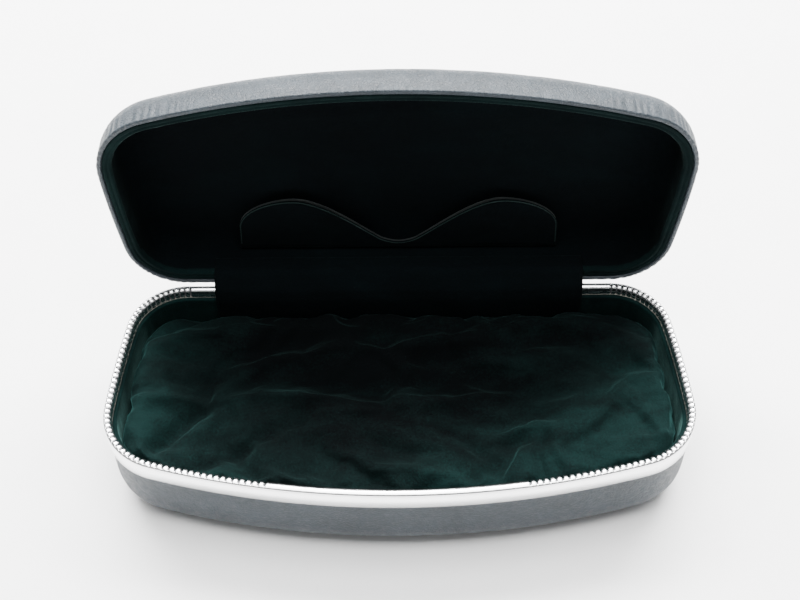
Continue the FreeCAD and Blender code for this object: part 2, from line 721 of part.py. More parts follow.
# ------------------------------------------------------------------ check and export
doc.recompute()
for item in doc.Objects:
    if "Invalid" in item.State or "Error" in item.State:
        raise RuntimeError("broken feature: " + item.Name + " " + item.Label)
for piece in nodes:
    shape = piece.Shape
    if not shape.isValid() or len(shape.Solids) != 1:
        print("CHECK", piece.Label, shape.isValid(), len(shape.Solids))
        raise RuntimeError("bad solid: " + piece.Label)
for piece in nodes:
    piece.Shape.exportStep("parts/%s.step" % piece.Label)
    bounds = piece.Shape.BoundBox
    print("%-20s x %7.2f %7.2f  y %7.2f %7.2f  z %7.2f %7.2f  vol %9.1f" % (
        piece.Label, bounds.XMin, bounds.XMax, bounds.YMin, bounds.YMax,
        bounds.ZMin, bounds.ZMax, piece.Shape.Volume))
print("nodes", len(nodes))
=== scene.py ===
import bpy
import bmesh
import math
from mathutils import Matrix, Vector, noise


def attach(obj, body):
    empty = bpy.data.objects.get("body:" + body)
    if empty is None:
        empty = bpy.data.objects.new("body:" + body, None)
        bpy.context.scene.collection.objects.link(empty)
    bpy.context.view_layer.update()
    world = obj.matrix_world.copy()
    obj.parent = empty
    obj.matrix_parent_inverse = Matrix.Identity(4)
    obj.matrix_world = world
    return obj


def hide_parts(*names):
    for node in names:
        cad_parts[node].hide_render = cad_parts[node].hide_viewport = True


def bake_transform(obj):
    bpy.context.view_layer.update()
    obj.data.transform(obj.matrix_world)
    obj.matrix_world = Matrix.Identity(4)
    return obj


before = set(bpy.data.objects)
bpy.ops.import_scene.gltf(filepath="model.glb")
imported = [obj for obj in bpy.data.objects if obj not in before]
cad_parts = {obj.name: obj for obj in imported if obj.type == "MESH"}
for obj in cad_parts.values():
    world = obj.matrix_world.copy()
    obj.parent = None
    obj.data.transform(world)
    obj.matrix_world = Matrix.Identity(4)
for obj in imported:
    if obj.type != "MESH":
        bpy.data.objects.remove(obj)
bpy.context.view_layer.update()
MM = 0.001

# ------------------------------------------------------------------ sizes, in mm
# the same driving dimensions as the solid model; a lid's levels run up from its edge
HALF_LENGTH = 80.0
CASE_DEPTH = 71.5
WIDEST_AT = 57.0
SIDE_R = 324.0
BACK_R = 16.5
FRONT_CORNER_R = 19.5
FRONT_R = 238.0
BASE_H = 29.5
BASE_EDGE_R = 11.0
LID_D = 15.4
LID_EDGE_R = 10.5
OPEN_ANGLE = math.radians(90.9)
HINGE_BACK = 0.1
HALF_GAP = 0.1
BAND_H = 6.2
BEAD_W = 2.2
FLANGE_D = 3.2
HALF_DEPTH = CASE_DEPTH / 2
FLAT_PROUD = 0.25  # the standing flat stands this much below the rest of the underside
# the cut-out for the hinge knuckles, in the outer corner of both halves' back edge
POCKET_HALF = 42.8
POCKET_DEPTH = 1.35
POCKET_HEIGHT = 1.45
INNERMOST = BACK_R - 1.0  # a profile may not run further in than the tightest corner


def in_hinge_pocket(point, inset):
    """True in the cut-out for the hinge knuckles, along the outer corner of the back."""
    return point.y > -1.0 and abs(point.x) < POCKET_HALF and inset < POCKET_DEPTH


# -------------------------------------------------------------- plan shape of a half
def circles():
    """Centres of the outline's right-hand circles: back corner, side, front corner, front."""
    side = Vector((HALF_LENGTH - SIDE_R, -WIDEST_AT))
    front = Vector((0.0, FRONT_R - CASE_DEPTH))
    reach = math.sqrt((SIDE_R - BACK_R) ** 2 - (WIDEST_AT - BACK_R) ** 2)
    back_corner = Vector((side.x + reach, -BACK_R))
    to_side = SIDE_R - FRONT_CORNER_R
    to_front = FRONT_R - FRONT_CORNER_R
    gap = (front - side).length
    along = (to_side * to_side - to_front * to_front + gap * gap) / (2 * gap)
    across = math.sqrt(to_side * to_side - along * along)
    unit = (front - side).normalized()
    corner = side + unit * along + Vector((unit.y, -unit.x)) * across
    return back_corner, side, corner, front


def heading(centre, target):
    d = target - centre
    return math.atan2(d.y, d.x)


def mirrored(p):
    return Vector((-p.x, p.y))


def outline_runs():
    """The outline at inset 0 as runs, from the middle of the back, counter-clockwise."""
    cb, cs, cf, cc = circles()
    a_back = heading(cs, cb)
    a_side = heading(cs, cf)
    a_front = heading(cc, cf)
    pi = math.pi
    runs = [("line", Vector((0.0, 0.0)), Vector((-cb.x, 0.0)))]
    arcs = [
        (mirrored(cb), BACK_R, pi / 2, pi - a_back),
        (mirrored(cs), SIDE_R, pi - a_back, pi - a_side),
        (mirrored(cf), FRONT_CORNER_R, pi - a_side, pi - a_front),
        (cc, FRONT_R, pi - a_front, 2 * pi + a_front),
        (cf, FRONT_CORNER_R, a_front, a_side),
        (cs, SIDE_R, a_side, a_back),
        (cb, BACK_R, a_back, pi / 2),
    ]
    for centre, radius, first, last in arcs:
        while last < first:
            last += 2 * pi
        runs.append(("arc", centre, radius, first, last))
    runs.append(("line", Vector((cb.x, 0.0)), Vector((0.0, 0.0))))
    return runs


RUNS = outline_runs()


def run_length(run):
    if run[0] == "line":
        return (run[2] - run[1]).length
    return run[2] * (run[4] - run[3])


PERIMETER = sum(run_length(run) for run in RUNS)


def at(s):
    """Point and outward normal at arc length s along the outline at inset 0."""
    s = s % PERIMETER
    for run in RUNS:
        length = run_length(run)
        if s <= length or run is RUNS[-1]:
            k = s / length
            if run[0] == "line":
                return run[1].lerp(run[2], k), Vector((0.0, 1.0))
            angle = run[3] + (run[4] - run[3]) * k
            normal = Vector((math.cos(angle), math.sin(angle)))
            return run[1] + normal * run[2], normal
        s -= length


def stations(step):
    """Even stations round the outline: (arc length, point, normal)."""
    count = int(round(PERIMETER / step))
    found = []
    for i in range(count):
        s = PERIMETER * i / count
        point, normal = at(s)
        found.append((s, point, normal))
    return found


# ------------------------------------------------------- from drawing to row frame
def base_place(x, y, z):
    return Vector((x * MM, (y + HALF_DEPTH) * MM, z * MM))


def lid_place(x, y, z):
    """A point of the shut lid, z up from its edge, put where the open lid has it."""
    dy = y - HINGE_BACK
    dz = z + HALF_GAP
    c = math.cos(OPEN_ANGLE)
    s = math.sin(OPEN_ANGLE)
    ry = dy * c + dz * s
    rz = -dy * s + dz * c
    return Vector((x * MM, (ry + HALF_DEPTH + HINGE_BACK) * MM, (rz + BASE_H + HALF_GAP) * MM))


# --------------------------------------------------------------------- mesh helpers
def make_object(name, verts, faces):
    mesh = bpy.data.meshes.new(name)
    mesh.from_pydata([tuple(v) for v in verts], [], faces)
    mesh.validate()
    mesh.update()
    obj = bpy.data.objects.new(name, mesh)
    bpy.context.scene.collection.objects.link(obj)
    bm = bmesh.new()
    bm.from_mesh(mesh)
    bmesh.ops.remove_doubles(bm, verts=bm.verts, dist=1e-7)
    bmesh.ops.recalc_face_normals(bm, faces=bm.faces)
    bm.to_mesh(mesh)
    bm.free()
    for poly in mesh.polygons:
        poly.use_smooth = True
    return obj


def sweep(name, place, stops, profile, cap_start=None, cap_end=None, closed=False, push=None):
    """Profile of (inset, level) carried round the outline; the caps run to the middle.

    push(s, point, inset, level) returns the (inset, level) to use at that station.
    """
    verts = []
    faces = []
    rows = len(profile)
    for s, point, normal in stops:
        for inset, level in profile:
            if push is not None:
                inset, level = push(s, point, inset, level)
            p = point - normal * inset
            verts.append(place(p.x, p.y, level))
    count = len(stops)
    wrap = rows if closed else rows - 1
    for i in range(count):
        j = (i + 1) % count
        for k in range(wrap):
            m = (k + 1) % rows
            faces.append((i * rows + k, j * rows + k, j * rows + m, i * rows + m))
    centre = Vector((0.0, -HALF_DEPTH))

    def cap(k, level_of):
        ring = [i * rows + k for i in range(count)]
        inset, level = profile[k]
        steps = 14
        for step in range(1, steps + 1):
            shrink = 1.0 - step / steps
            new = []
            for i, (s, point, normal) in enumerate(stops):
                p = point - normal * inset
                p = centre + (p - centre) * shrink
                verts.append(place(p.x, p.y, level_of(p.x, p.y, level)))
                new.append(len(verts) - 1)
            for i in range(count):
                j = (i + 1) % count
                faces.append((ring[i], ring[j], new[j], new[i]))
            ring = new

    if cap_start is not None:
        cap(0, cap_start)
    if cap_end is not None:
        cap(rows - 1, cap_end)
    return make_object(name, verts, faces)


def flat_cap(x, y, level):
    """A cap with no shape of its own: it keeps the level of the profile's end."""
    return level


def grid_faces(rows, across, closed=False):
    """Quads between rows + 1 rows of points; closed joins each row's last to its first."""
    faces = []
    for i in range(rows):
        for k in range(across if closed else across - 1):
            m = (k + 1) % across
            faces.append((i * across + k, (i + 1) * across + k,
                          (i + 1) * across + m, i * across + m))
    return faces


def clamp(value):
    """The value held between 0 and 1."""
    return max(0.0, min(1.0, value))


def arc_points(ct, cz, radius, first, last, count):
    """Points of a round corner in the profile plane."""
    points = []
    for i in range(count + 1):
        a = math.radians(first + (last - first) * i / count)
        points.append((ct + radius * math.cos(a), cz + radius * math.sin(a)))
    return points


def fbm(x, y, z, octaves, seed):
    """Sum of noise octaves, each half the size and about twice as fine as the last."""
    total = 0.0
    size = 1.0
    for octave in range(octaves):
        total += size * noise.noise(Vector((x + seed, y - seed, z + seed * 0.37)))
        x, y, z = x * 2.03, y * 2.03, z * 2.03
        size *= 0.5
    return total


# ------------------------------------------------------------------------ materials
def new_material(name):
    mat = bpy.data.materials.new(name)
    mat.use_nodes = True
    nodes = mat.node_tree.nodes
    links = mat.node_tree.links
    shader = nodes["Principled BSDF"]
    return mat, nodes, links, shader


def coords(nodes, links, scale):
    where = nodes.new("ShaderNodeTexCoord")
    mapping = nodes.new("ShaderNodeMapping")
    mapping.inputs["Scale"].default_value = scale
    links.new(where.outputs["Object"], mapping.inputs["Vector"])
    return mapping.outputs["Vector"]


def noise_node(nodes, links, vector, scale, detail, rough, distortion=0.0):
    n = nodes.new("ShaderNodeTexNoise")
    n.inputs["Scale"].default_value = scale
    n.inputs["Detail"].default_value = detail
    n.inputs["Roughness"].default_value = rough
    n.inputs["Distortion"].default_value = distortion
    links.new(vector, n.inputs["Vector"])
    return n.outputs["Fac"]


def ramp(nodes, links, source, stops):
    r = nodes.new("ShaderNodeValToRGB")
    elements = r.color_ramp.elements
    elements[0].position = stops[0][0]
    elements[0].color = stops[0][1]
    elements[1].position = stops[-1][0]
    elements[1].color = stops[-1][1]
    for position, colour in stops[1:-1]:
        e = elements.new(position)
        e.color = colour
    links.new(source, r.inputs["Fac"])
    return r.outputs["Color"]


def grey(v):
    return (v, v, v, 1.0)


def math_node(nodes, links, kind, a, b):
    m = nodes.new("ShaderNodeMath")
    m.operation = kind
    for socket, value in zip(m.inputs, (a, b)):
        if isinstance(value, (int, float)):
            socket.default_value = value
        else:
            links.new(value, socket)
    return m.outputs[0]


def weighted_sum(nodes, links, parts):
    """Adds up the sources, each times its own weight."""
    total = None
    for source, weight in parts:
        part = math_node(nodes, links, "MULTIPLY", source, weight)
        total = part if total is None else math_node(nodes, links, "ADD", total, part)
    return total


def bump(nodes, links, height, strength, distance, normal=None):
    b = nodes.new("ShaderNodeBump")
    b.inputs["Strength"].default_value = strength
    b.inputs["Distance"].default_value = distance
    links.new(height, b.inputs["Height"])
    if normal is not None:
        links.new(normal, b.inputs["Normal"])
    return b.outputs["Normal"]


def painted_outer_light(nodes, links, vector, amount):
    """Painted light and shade: raises the pile value, and with it the velvet's colour and sheen,
    towards the object's left and right ends and its front edge; the middle and back stay darker,
    where the open lid shades them.
    """
    apart = nodes.new("ShaderNodeSeparateXYZ")
    links.new(vector, apart.inputs[0])
    across = math_node(nodes, links, "MULTIPLY", apart.outputs[0], apart.outputs[0])
    across = math_node(nodes, links, "MULTIPLY", across, 210.0)
    ahead = math_node(nodes, links, "SUBTRACT", 0.010, apart.outputs[1])
    ahead = math_node(nodes, links, "MULTIPLY", ahead, 15.0)
    lift = math_node(nodes, links, "ADD", across, ahead)
    lift = math_node(nodes, links, "MINIMUM", lift, 1.1)
    lift = math_node(nodes, links, "SUBTRACT", lift, 0.55)
    return math_node(nodes, links, "MULTIPLY", lift, amount)


def velvet(name, deep, lit, sheen_colour, sheen, pile, seed, painted_light_outward=0.0):
    """Short-pile velvet: dark body, patches of pile brushed both ways, sheen at the folds; painted
    light and shade can be added across it.
    """
    mat, nodes, links, shader = new_material(name)
    vector = coords(nodes, links, (1.0, 1.0, 1.0))
    brushed = coords(nodes, links, (0.55, 1.0, 1.0))
    cloud = noise_node(nodes, links, brushed, 38.0 + seed, 3.0, 0.6, 0.8)
    patch = noise_node(nodes, links, brushed, 170.0, 4.0, 0.65, 0.3)
    hair = noise_node(nodes, links, vector, 1900.0, 2.0, 0.7)
    nap_and_painted_light = weighted_sum(nodes, links, ((cloud, 0.5), (patch, 0.2), (hair, 0.3)))
    # painted light and shade: the pile value, which sets colour and sheen, rises towards the ends
    # and front
    if painted_light_outward > 0.0:
        lift = painted_outer_light(nodes, links, vector, painted_light_outward)
        nap_and_painted_light = math_node(nodes, links, "ADD", nap_and_painted_light, lift)
    mid = tuple(0.35 * b + 0.65 * a for a, b in zip(deep, lit))
    colour = ramp(nodes, links, nap_and_painted_light, [(0.38, deep), (0.52, mid), (0.66, lit)])
    links.new(colour, shader.inputs["Base Color"])
    shader.inputs["Roughness"].default_value = 0.95
    shader.inputs["Specular IOR Level"].default_value = 0.06
    weight = ramp(nodes, links, nap_and_painted_light, [(0.4, grey(sheen * 0.35)), (0.62, grey(sheen))])
    links.new(weight, shader.inputs["Sheen Weight"])
    shader.inputs["Sheen Roughness"].default_value = 0.3
    shader.inputs["Sheen Tint"].default_value = sheen_colour
    fine = bump(nodes, links, hair, 0.7 * pile, 0.0002)
    normal = bump(nodes, links, patch, 0.35 * pile, 0.0006, fine)
    links.new(normal, shader.inputs["Normal"])
    return mat


def leatherette(name, dark, light, rough=0.5):
    """Slate leatherette: fine pebble grain, shallow creases, satin top coat."""
    mat, nodes, links, shader = new_material(name)
    vector = coords(nodes, links, (1.0, 1.0, 1.0))
    cells = nodes.new("ShaderNodeTexVoronoi")
    cells.feature = "DISTANCE_TO_EDGE"
    cells.inputs["Scale"].default_value = 1050.0
    links.new(vector, cells.inputs["Vector"])
    pebble = ramp(nodes, links, cells.outputs["Distance"], [(0.0, grey(0.0)), (0.2, grey(1.0))])
    drift = noise_node(nodes, links, vector, 95.0, 5.0, 0.6, 0.5)
    crease = noise_node(nodes, links, coords(nodes, links, (1.0, 0.45, 0.45)), 640.0, 5.0, 0.7, 1.6)
    mottle = noise_node(nodes, links, vector, 700.0, 3.0, 0.65, 0.4)
    mix = weighted_sum(nodes, links, ((drift, 0.4), (crease, 0.3), (mottle, 0.3)))
    colour = ramp(nodes, links, mix, [(0.38, dark), (0.62, light)])
    links.new(colour, shader.inputs["Base Color"])
    shade = ramp(nodes, links, mottle, [(0.32, grey(rough - 0.13)), (0.68, grey(rough + 0.13))])
    links.new(shade, shader.inputs["Roughness"])
    shader.inputs["Specular IOR Level"].default_value = 0.28
    shader.inputs["Coat Weight"].default_value = 0.05
    shader.inputs["Coat Roughness"].default_value = 0.35
    grain = bump(nodes, links, pebble, 0.5, 0.00015)
    mottled = bump(nodes, links, mottle, 0.45, 0.0003, grain)
    normal = bump(nodes, links, crease, 0.5, 0.0005, mottled)
    links.new(normal, shader.inputs["Normal"])
    return mat


def metal(name, colour, rough):
    """Bright metal with faint drawn streaks and handling haze."""
    streak = 0.06
    mat, nodes, links, shader = new_material(name)
    vector = coords(nodes, links, (1.0, 1.0, 1.0))
    haze = noise_node(nodes, links, vector, 70.0, 4.0, 0.6)
    lines = noise_node(nodes, links, coords(nodes, links, (0.05, 0.05, 1.0)), 3600.0, 3.0, 0.6)
    hazed = tuple(c * 0.94 for c in colour[:3]) + (1.0,)
    tone = ramp(nodes, links, haze, [(0.3, hazed), (0.7, colour)])
    links.new(tone, shader.inputs["Base Color"])
    shader.inputs["Metallic"].default_value = 1.0
    shade = ramp(nodes, links, lines, [(0.3, grey(rough - streak)), (0.7, grey(rough + streak))])
    links.new(shade, shader.inputs["Roughness"])
    normal = bump(nodes, links, lines, 0.05, 0.0001)
    links.new(normal, shader.inputs["Normal"])
    return mat


def matte(name, dark, light, scale, rough=0.85, depth=0.0002):
    """Plain card, foam or paint with a little mottling and tooth."""
    mat, nodes, links, shader = new_material(name)
    vector = coords(nodes, links, (1.0, 1.0, 1.0))
    speck = noise_node(nodes, links, vector, scale, 5.0, 0.65)
    colour = ramp(nodes, links, speck, [(0.35, dark), (0.65, light)])
    links.new(colour, shader.inputs["Base Color"])
    shader.inputs["Roughness"].default_value = rough
    normal = bump(nodes, links, speck, 0.4, depth)
    links.new(normal, shader.inputs["Normal"])
    return mat


# the pad's velvet carries painted light towards its ends and front and painted shade in its middle
# and back
PAD_VELVET = velvet("pad_velvet", (0.0001, 0.0006, 0.0008, 1), (0.0026, 0.0105, 0.0098, 1),
                    (0.26, 0.8, 0.75, 1), sheen=0.13, pile=1.0, seed=0.0, painted_light_outward=0.22)
WALL_VELVET = velvet("wall_velvet", (0.0005, 0.0034, 0.0034, 1), (0.003, 0.014, 0.0128, 1),
                     (0.36, 0.8, 0.74, 1), sheen=0.2, pile=0.8, seed=3.0)
# the lid's velvet is coloured darker than the base's: painted shade of the lid's inside
LID_VELVET_SHADED = velvet("lid_velvet", (0.0003, 0.0011, 0.0015, 1), (0.0008, 0.0028, 0.0034, 1),
                    (0.4, 0.75, 0.7, 1), sheen=0.03, pile=0.8, seed=7.0)
LIP_VELVET = velvet("lip_velvet", (0.0008, 0.0036, 0.0038, 1), (0.003, 0.011, 0.0105, 1),
                    (0.5, 0.8, 0.76, 1), sheen=0.18, pile=0.8, seed=11.0)
EDGE_MAT = velvet("flap_edging", (0.006, 0.013, 0.012, 1), (0.02, 0.032, 0.03, 1),
                  (0.7, 0.85, 0.8, 1), sheen=0.08, pile=0.6, seed=5.0)
# dark velvet for the slots' end walls: lining colour and painted shade
SLOT_LINING_AND_SHADE = velvet("lining_and_shade_in_slots", (0.001, 0.003, 0.003, 1), (0.003, 0.008, 0.007, 1),
                   (0.4, 0.7, 0.65, 1), sheen=0.0, pile=0.5, seed=9.0)
LEATHER = leatherette("slate_leatherette", (0.008, 0.0125, 0.0165, 1), (0.025, 0.034, 0.042, 1))
RIM_METAL = metal("rim_metal", (0.93, 0.935, 0.94, 1), 0.24)
HINGE_METAL = metal("hinge_steel", (0.66, 0.665, 0.68, 1), 0.34)
SHELL_PAINT = matte("shell_primer", (0.055, 0.055, 0.06, 1), (0.09, 0.09, 0.095, 1), 500.0, 0.6)
CARD = matte("grey_card", (0.2, 0.185, 0.16, 1), (0.3, 0.28, 0.25, 1), 900.0)
BOARD = matte("black_board", (0.002, 0.004, 0.004, 1), (0.005, 0.009, 0.009, 1), 900.0)
FOAM = matte("pad_foam_mat", (0.5, 0.48, 0.4, 1), (0.72, 0.7, 0.62, 1), 1800.0, 0.95, 0.0005)
FLOOR = matte("studio_floor", (0.9, 0.9, 0.9, 1), (0.93, 0.93, 0.93, 1), 30.0, 0.8, 0.00001)


def paint(obj, mat):
    obj.data.materials.clear()
    obj.data.materials.append(mat)


def node_paint(name, mat):
    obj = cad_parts[name]
    if not obj.material_slots:
        obj.data.materials.append(mat)
    for entry in obj.material_slots:
        entry.link = "OBJECT"
        entry.material = mat


# the nodes that are carried over from the solid model as they are
CARRIED_OVER = (
    (SHELL_PAINT, ("base_shell", "lid_shell")),
    (CARD, ("base_lining_card", "lid_lining_card", "pad_board")),
    (BOARD, ("pocket_board",)),
    (HINGE_METAL, ("hinge_leaf_base", "hinge_leaf_lid", "hinge_pin", "base_rivet_left",
                   "base_rivet_right", "lid_rivet_left", "lid_rivet_right")),
)
for material, names in CARRIED_OVER:
    for name in names:
        node_paint(name, material)


def corner_weight(x, y):
    """1 at the four corners of the plan, 0 along the straight stretches."""
    side = clamp((abs(x) - 50.0) / 12.0)
    front = clamp((-y - 38.0) / 10.0)
    back = clamp((14.0 + y) / 8.0)
    return side * max(front, back)


def pleat(s, spacing, seed):
    """Uneven gathers along the edge, mostly between -1 and 1."""
    wander = 1.4 * noise.noise(Vector((s * 0.12, seed, 0.0)))
    wave = math.sin(2 * math.pi * (s / spacing + wander))
    strength = 0.6 + 0.6 * noise.noise(Vector((s * 0.35, seed + 4.0, 1.0)))
    return wave * strength


# ----------------------------------------------------------------- base leatherette
def standing_level(x, y, level):
    """The underside: a shallow flat with clipped corners stands a little proud."""
    half_length, half_depth, clipped = 60.0, 22.5, 4.0
    dx = half_length - abs(x)
    dy = half_depth - abs(y + HALF_DEPTH)
    inside = min(dx, dy, (dx + dy - clipped) * 0.7)
    k = clamp(inside / 0.8 + 0.5)
    return FLAT_PROUD * (1.0 - k * k * (3.0 - 2.0 * k))


def base_leather():
    r = BASE_EDGE_R
    top = BASE_H - 1.4
    wall = BASE_H - 7.0
    profile = [(1.1, top), (0.62, top), (0.5, top - 0.2), (0.5, wall + 0.4)]
    profile += [(0.5, wall - (wall - r) * k / 7) for k in range(7)]
    profile += arc_points(0.5 + r, r, r, 180, 270, 14)
    profile += [(13.0, FLAT_PROUD), (INNERMOST, FLAT_PROUD)]

    def push(s, point, inset, level):
        if level > wall + 0.2:
            if in_hinge_pocket(point, inset):
                level = min(level, BASE_H - POCKET_HEIGHT)
            return inset, level
        level = max(level, FLAT_PROUD)
        if inset > 11.0:
            return inset, level
        ripple = 0.16 * fbm(point.x * 0.09, point.y * 0.09, level * 0.16, 3, 2.0)
        tuck = 0.0
        if level > 12.0:
            near = (level - 12.0) / 10.0
            tuck = 0.12 * corner_weight(point.x, point.y) * near * pleat(s, 3.1, 9.0)
        return inset + 0.05 + abs(ripple) * 0.8 + max(0.0, tuck), level

    obj = sweep("base_leather", base_place, stations(0.8), profile,
                cap_end=standing_level, push=push)
    paint(obj, LEATHER)
    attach(obj, "base")
    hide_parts("base_leatherette")


# ------------------------------------------------------------ notched bright rim
SLOT_INSET = 0.66  # how far in the end wall of a slot lies
TEETH_PITCH = 1.72
# how far from the middle the teeth begin, along the front and along the back
TEETH_FRONT = 34.0
TEETH_BACK = 61.0


def rim():
    """Channel rim: outer band, rounded bead, inner flange cut into teeth at the bends."""
    top = BASE_H
    middle = BEAD_W / 2
    bead_height = 0.72
    flange_face = 1.64
    underside = top - 1.15
    turns = [math.radians(a) for a in range(180, -1, -15)]
    bead = [(middle + middle * math.cos(a), top - bead_height + bead_height * math.sin(a))
            for a in turns]
    profile = [(0.5, top - BAND_H + 0.05), (0.42, top - BAND_H), (0.16, top - BAND_H),
               (0.06, top - BAND_H + 0.15), (0.03, top - 4.0), (0.05, top - 1.5),
               (0.26, top - 1.28), (0.26, top - 1.12), (0.02, top - 0.92)]
    profile += bead
    profile += [(BEAD_W, top - 1.4), (BEAD_W, top - 2.9), (BEAD_W - 0.1, top - FLANGE_D),
                (flange_face + 0.12, top - FLANGE_D), (flange_face, top - 3.0),
                (flange_face, underside), (0.52, underside)]
    # how full the metal is across one pitch: a slot, then a tooth with rounded ends
    shape = ((0.0, 0.74), (0.015, 0.0), (0.255, 0.0), (0.27, 0.74), (0.34, 0.94),
             (0.5, 1.0), (0.78, 1.0), (0.93, 0.94))
    count = int(round(PERIMETER / TEETH_PITCH))
    pitch = PERIMETER / count
    stops = []
    metal_at = {}
    for i in range(count):
        centre = at((i + 0.5) * pitch)[0]
        clear = TEETH_FRONT if centre.y < -HALF_DEPTH else TEETH_BACK
        toothed = abs(centre.x) > clear
        height = 0.12 * noise.noise(Vector((i * 1.7, 0.0, 5.0)))
        for k, solid in shape:
            s = (i + k) * pitch
            point, normal = at(s)
            stops.append((s, point, normal))
            metal_at[s] = (solid, height) if toothed else (1.0, 0.0)

    def push(s, point, inset, level):
        solid, height = metal_at[s]
        if in_hinge_pocket(point, inset) and level > top - POCKET_HEIGHT:
            return inset, top - POCKET_HEIGHT
        if inset <= SLOT_INSET:
            return inset, level
        if solid <= 0.0:
            return SLOT_INSET, min(level, top - 0.25)
        if level > top - 1.2:
            across = min(1.0, (inset - SLOT_INSET) / 0.5)
            drop = (1.0 - solid) * 1.3 - height * 0.5
            return inset - (1.0 - solid) * 0.5 * across, level - drop * across
        return inset, level

    obj = sweep("rim_bright", base_place, stops, profile, closed=True, push=push)
    obj.data.materials.append(RIM_METAL)
    obj.data.materials.append(SLOT_LINING_AND_SHADE)
    # the end walls of the slots are painted dark: partly the dark lining seen in there, partly
    # painted shade of the deep narrow slots
    for poly in obj.data.polygons:
        poly.material_index = 1 if slot_face(obj.data, poly) else 0
    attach(obj, "base")
    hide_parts("base_rim")


def inset_of(x, y):
    """How far a point of the plan lies inside the outline, near the outline."""
    cb, cs, cf, cc = circles()
    x = abs(x)
    if y > -BACK_R and x < cb.x:
        return -y
    p = Vector((x, y))
    if y > -BACK_R or heading(cs, p) > heading(cs, cb):
        return BACK_R - (p - cb).length
    if heading(cs, p) > heading(cs, cf):
        return SIDE_R - (p - cs).length
    if heading(cc, p) > heading(cc, cf):
        return FRONT_CORNER_R - (p - cf).length
    return FRONT_R - (p - cc).length


def slot_face(mesh, poly):
    """A face of the end wall of a slot: all its corners lie at the slot's depth."""
    for index in poly.vertices:
        co = mesh.vertices[index].co
        inset = inset_of(co.x / MM, co.y / MM - HALF_DEPTH)
        if abs(inset - SLOT_INSET) > 0.06 or co.z / MM < BASE_H - 3.3:
            return False
    return True


# --------------------------------------------------------------- velvet wall lining
def wall_lining():
    top = BASE_H - FLANGE_D
    profile = [(1.85, top - 0.5), (1.95, top - 0.1), (2.25, top + 0.04), (2.5, top + 0.1)]
    profile += arc_points(2.78, top - 0.42, 0.52, 80, 0, 5)
    profile += [(3.3, top - 0.8 - (top - 11.5) * k / 10) for k in range(1, 10)]
    profile += arc_points(11.5, 11.0, 8.2, 180, 270, 9)
    profile += [(13.5, 2.8), (INNERMOST, 2.8)]

    def push(s, point, inset, level):
        if inset < 2.6 or level > top - 0.2:
            return inset, level
        soft = 0.4 * fbm(point.x * 0.07, point.y * 0.07, level * 0.05, 3, 12.0)
        fold = 0.3 * corner_weight(point.x, point.y) * pleat(s, 5.2, 3.0)
        edge = clamp((top - 0.4 - level) / 2.5)
        return inset + (soft + fold) * edge, level

    obj = sweep("wall_velvet_lining", base_place, stations(1.1), profile, push=push)
    paint(obj, WALL_VELVET)
    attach(obj, "base")
    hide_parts("base_lining_velvet")


# ---------------------------------------------------------------------- velvet pad
PAD_TOP = BASE_H - 7.6
PAD_SIDE = 4.4
PAD_CEILING = BASE_H - 4.4  # no fold rises above this
VOXEL = 0.0012  # edge of a remesh voxel, in metres
SEED_DEPTH = 0.9  # share of the fold heights that the cover has before the cloth run
CREST_HEIGHT = 0.85  # share of the sharp crests that is added after it
# the cloth run: the pad is simulated larger, with its cover grown and its foot held
SIM_SCALE = 14.0
SIM_FRAMES = 26
COVER_GROWTH = 0.085
HELD_BELOW = 17.0  # above the case's underside
MOST_MOVE = 3.4  # how far a point of the cover may move
CLOTH = {
    "quality": 7,
    "mass": 0.12,
    "tension_stiffness": 18.0,
    "compression_stiffness": 18.0,
    "shear_stiffness": 8.0,
    "bending_stiffness": 0.25,
    "tension_damping": 12.0,
    "compression_damping": 12.0,
    "shear_damping": 8.0,
    "bending_damping": 0.6,
    "air_damping": 3.0,
    "shrink_min": -COVER_GROWTH,
    "pin_stiffness": 6.0,
}

